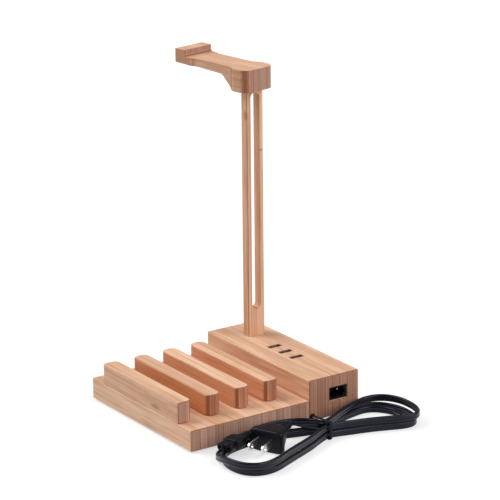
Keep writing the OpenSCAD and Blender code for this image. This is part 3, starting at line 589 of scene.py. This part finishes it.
# Laminated bamboo, with fibres along one axis and strips beside each other across it
class Bamboo(Look):
    def __init__(self, name, along, across, shift, strip_w, turn):
        super().__init__(name, WOOD_LIGHT, 0.5, Specular_IOR_Level=0.3)
        self.along, self.across = along, across
        self.turned = self.mapped(self.at, turn=-turn)
        self.place = self.split(self.turned)
        self.facing = self.split(self.mapped(self.outward, turn=-turn))
        strips = self.math("DIVIDE", self.math("ADD", self.place[across], shift * MM), strip_w * MM)
        self.chance = self.give(self.add("ShaderNodeTexWhiteNoise", noise_dimensions="1D"),
                                W=self.math("FLOOR", strips)).outputs[0]
        self.seam = self.math("ABSOLUTE", self.math("SUBTRACT", self.math("FRACT", strips), 0.5))
        self.broad = self.fibres(9, 260, 3)
        self.fine = self.fibres(22, 1300, 2)

    def fibres(self, long, thin, detail):
        third = 3 - self.along - self.across
        far = self.math("MULTIPLY", self.chance, 3.0)
        vector = self.give(self.add("ShaderNodeCombineXYZ"),
                           _0=self.math("ADD", self.math("MULTIPLY", self.place[self.along], long), far),
                           _1=self.math("MULTIPLY", self.place[self.across], thin),
                           _2=self.math("MULTIPLY", self.place[third], thin)).outputs[0]
        return self.noise(vector, 1.0, detail, 0.6)

    def face(self, tone):
        base = self.mix(self.step(self.broad, 0.35, 0.7), WOOD_LIGHT, WOOD_WARM)
        base = self.mix(self.step(self.fine, 0.5, 0.7, 0, FIBRE_SHARE), base, WOOD_DARK)
        base = self.mix(self.step(self.chance, 0.1, 1.0, tone, STRIP_SHARE + tone), base, WOOD_DARK)
        return self.mix(self.step(self.seam, 0.465, 0.495, 0, SEAM_SHARE), base, NODE_DARK)

    # A mark is where a culm's joint crossed a strip: its centre and its half sizes
    def marked(self, base, marks):
        for centre, half in marks:
            away = self.vector("SUBTRACT", self.turned, [v * MM for v in centre])
            away = self.vector("MULTIPLY", away, [1 / (v * MM) for v in half])
            edge = self.math("ADD", self.vector("LENGTH", away), self.math("MULTIPLY", self.broad, 0.8))
            base = self.mix(self.step(edge, 0.6, 1.6, MARK_SHARE, 0), base, NODE_DARK)
        return base

    # Faces across the strips take a warm painted shade by the share sides, and corners that turn
    # towards the axis turns take a dark painted shade by the share corners
    def shaded(self, base, sides, corners, turns):
        sideways = self.math("ABSOLUTE", self.facing[self.across])
        base = self.mix(self.step(sideways, 0.3, 0.8, 0, sides), base, SHADE_TINT, "MULTIPLY")
        curved = self.math("ABSOLUTE", self.facing[turns])
        # Rounded corners take a dark painted shade where they face between two axes
        corner_shade_mask = self.math("MULTIPLY", self.step(curved, 0.25, 0.62, 0, corners),
                            self.step(curved, 0.8, 0.98, 1, 0))
        return self.mix(corner_shade_mask, base, CORNER_SHADE)

    def end_grain(self, sides):
        pores = self.give(self.add("ShaderNodeTexVoronoi"), Vector=self.at, Scale=1500).outputs[0]
        layers = self.give(self.add("ShaderNodeTexNoise", noise_dimensions="1D"),
                           W=self.place[self.across], Scale=650).outputs[0]
        ends = self.mix(self.step(pores, 0.25, 0.55, PORE_SHARE, 0), END_LIGHT, END_DARK)
        ends = self.mix(self.step(layers, 0.42, 0.66, 0, LAYER_SHARE), ends, END_DARK)
        ends = self.mix(self.step(self.chance, 0.0, 1.0, 0, END_STRIP_SHARE), ends, END_DARK)
        ends = self.mix(self.step(self.seam, 0.44, 0.49, 0, END_SEAM_SHARE), ends, NODE_DARK)
        # The ends take the same warm painted shade by the share sides
        return self.mix(sides, ends, SHADE_TINT, "MULTIPLY")


# Corners turn towards the ends, unless turns names another axis. Sides and corners are shares of painted shade.
def bamboo(name, along, across, shift=0.0, strip_w=STRIP_W, turn=0.0, tone=0.0, sides=0.0, corners=0.85,
           turns=None, marks=()):
    look = Bamboo(name, along, across, shift, strip_w, turn)
    face = look.marked(look.face(tone), marks)
    face = look.shaded(face, sides, corners, along if turns is None else turns)
    endways = look.math("ABSOLUTE", look.facing[along])
    look.paint(look.mix(look.step(endways, 0.86, 0.97), face, look.end_grain(sides)))
    look.give(look.shader, Roughness=look.step(look.fine, 0.3, 0.8, 0.42, 0.6))
    height = look.math("ADD", look.math("MULTIPLY", look.fine, 0.6), look.step(look.seam, 0.47, 0.5, 0.3, 0))
    look.bump(height, 0.00012)
    return look


# The sides and corners below set how much painted shade each piece takes
bamboo("bamboo_slab", 0, 1).put("base_slab")
bamboo("bamboo_housing", 0, 1, shift=3, sides=0.4).put("rear_housing")
# Dividers behind the first take a strong warm painted shade on their faces, as each stands in the shade of the
# one before
for number, dark, front_shade in ((1, 0, 0.1), (2, 0.08, 1), (3, 0.03, 0.9), (4, 0, 0.8)):
    knots = [((50, -85, 25), (9, 4, 2.6))] if number == 1 else []
    bamboo(f"bamboo_divider_{number}", 0, 1, shift=1.7 * number, tone=dark, sides=front_shade,
           marks=knots).put(f"divider_{number}")
bamboo("bamboo_post", 2, 1, shift=2, strip_w=6, tone=0.05, sides=0.2, corners=0.5, turns=0,
       marks=[((-20, 55.5, 238), (3, 3, 5)), ((-17.9, 70, 206), (3, 3, 1.4))]).put("post")
bamboo("bamboo_arm", 0, 1, shift=1, turn=radians(10), sides=0.15).put("hanger_arm")
bamboo("bamboo_dowel", 1, 0, strip_w=20, tone=0.15).put("joint_dowels")


# Plastic or another dull, even stuff with a fine uneven surface
def plain(name, base, roughness, grain=900, deep=0.00004, **sockets):
    look = Look(name, base, roughness, **sockets)
    rough = look.noise(look.stretched(grain, grain, grain), 1.0, 3)
    broad = look.noise(look.stretched(60, 60, 60), 1.0, 2)
    look.paint(look.mix(look.step(broad, 0.35, 0.65), base, darker(base, 0.8)))
    look.give(look.shader, Roughness=look.step(rough, 0.3, 0.7, roughness - 0.06, roughness + 0.06))
    look.bump(rough, deep)
    return look


# Metal with fine marks that run along one axis
def metal(name, base, roughness, stretch=(40, 900, 900)):
    look = Look(name, base, roughness, 1.0)
    marks = look.noise(look.stretched(*stretch), 1.0, 3)
    look.paint(look.mix(marks, base, darker(base, 0.86)))
    look.give(look.shader, Roughness=look.step(marks, 0.3, 0.7, roughness, roughness + 0.16))
    look.bump(marks, 0.00001)
    return look


PORTS = (1, 2, 3)
SATIN = {"Specular_IOR_Level": 0.24}
plain("vinyl_cord", colour(12, 13, 24), 0.3, 700, 0.00002, Specular_IOR_Level=0.34,
      Specular_Tint=BLUISH).put(cord)
plain("vinyl_moulding", colour(9, 9, 16), 0.44, Specular_Tint=BLUISH, **SATIN).put(plug, connector, nose)
plain("tie_coating", colour(9, 9, 12), 0.42, 1500, **SATIN).put(tie_band, *tie_tails)
plain("socket_plastic", colour(12, 12, 13), 0.42, **SATIN).put("inlet_body")
plain("port_plastic", colour(92, 80, 72), 0.4).put(*(f"port_tongue_{n}" for n in PORTS))
plain("cover_plastic", colour(22, 22, 23), 0.6, 500, 0.0001).put("bottom_cover")
plain("foot_rubber", colour(28, 28, 28), 0.8, 500, 0.0001).put("rubber_feet")
plain("chip_resin", colour(30, 30, 32), 0.55).put("bridge_rectifier", "controller_chip")
plain("ferrite", colour(62, 62, 66), 0.7, 1200, 0.0001).put("transformer_core")
plain("coil_tape", colour(226, 178, 52), 0.35).put("transformer_bobbin")
plain("capacitor_sleeve", colour(38, 42, 74), 0.3).put("input_capacitor", "output_capacitors")
plain("capacitor_box", colour(210, 160, 52), 0.4).put("suppression_capacitor")
plain("fuse_resin", colour(120, 46, 34), 0.4).put("fuse")
plain("wire_red", colour(150, 34, 30), 0.4).put("inlet_wires")
metal("nickel", colour(236, 234, 229), 0.14).put("plug_blades", "inlet_pins")
metal("port_steel", colour(176, 172, 166), 0.28, (900, 900, 60)).put(*(f"port_shell_{n}" for n in PORTS))
metal("zinc", colour(190, 192, 196), 0.34).put("divider_screws", "cover_screws", "board_screws",
                                               "board_spacers", "post_bolt", "post_washer")
metal("brass", colour(214, 178, 104), 0.26).put("post_insert", "port_contacts")
metal("dull_brass", colour(74, 64, 48), 0.5).put("connector_sleeves")


# Circuit board: solder mask over straight copper tracks
def circuit_board():
    mask = colour(24, 92, 52)
    look = Look("circuit_board", mask, 0.32)
    tracks = look.give(look.add("ShaderNodeTexVoronoi", distance="MANHATTAN", feature="DISTANCE_TO_EDGE"),
                       Vector=look.stretched(1, 1, 0), Scale=190).outputs[0]
    line = look.step(tracks, 0.04, 0.1, 1, 0)
    look.paint(look.mix(line, mask, colour(46, 128, 66)))
    look.bump(line, 0.00004)
    look.put("circuit_board")


circuit_board()


# Floor, light and background

AMBIENT = 0.3
FLOOR_GREY = (0.5, 0.5, 0.5, 1)
FLOOR_GLOW = 0.58
FLOOR_REACH = 3000


def add_floor():
    corners = [(x * FLOOR_REACH, y * FLOOR_REACH, 0) for x, y in ((-1, -1), (1, -1), (1, 1), (-1, 1))]
    floor = add_mesh("floor", corners, [(0, 1, 2, 3)])
    look = Look("floor", FLOOR_GREY, 1.0, Specular_IOR_Level=0.0)
    ray = look.add("ShaderNodeLightPath").outputs
    seen = look.math("MAXIMUM", look.math("MAXIMUM", ray["Is Camera Ray"], ray["Is Glossy Ray"]),
                     ray["Is Transmission Ray"])
    look.give(look.shader, **{"Emission Color": (1, 1, 1, 1),
                              "Emission Strength": look.math("MULTIPLY", seen, FLOOR_GLOW)})
    look.put(floor)


def add_world():
    world = bpy.data.worlds.new("world")
    world.use_nodes = True
    scene.world = world
    tree = world.node_tree
    background = tree.nodes["Background"]
    background.inputs["Color"].default_value = (1, 1, 1, 1)
    ray = tree.nodes.new("ShaderNodeLightPath").outputs
    seen = tree.nodes.new("ShaderNodeMath")
    seen.operation = "MAXIMUM"
    tree.links.new(ray["Is Camera Ray"], seen.inputs[0])
    tree.links.new(ray["Is Transmission Ray"], seen.inputs[1])
    level = tree.nodes.new("ShaderNodeMapRange")
    level.inputs["To Min"].default_value = AMBIENT
    tree.links.new(seen.outputs[0], level.inputs["Value"])
    tree.links.new(level.outputs[0], background.inputs["Strength"])


def add_sun(name, towards, strength, spread):
    sun = bpy.data.objects.new(name, bpy.data.lights.new(name, "SUN"))
    sun.data.energy = strength * pi
    sun.data.angle = radians(spread)
    sun.rotation_euler = Vector(towards).to_track_quat("Z", "Y").to_euler()
    scene.collection.objects.link(sun)


add_floor()
add_world()
add_sun("key", (-0.6, -0.55, 0.9), 0.64, 45)
add_sun("fill", (0.8, 0.4, 0.6), 0.55, 60)
scene.view_settings.view_transform = "Standard"
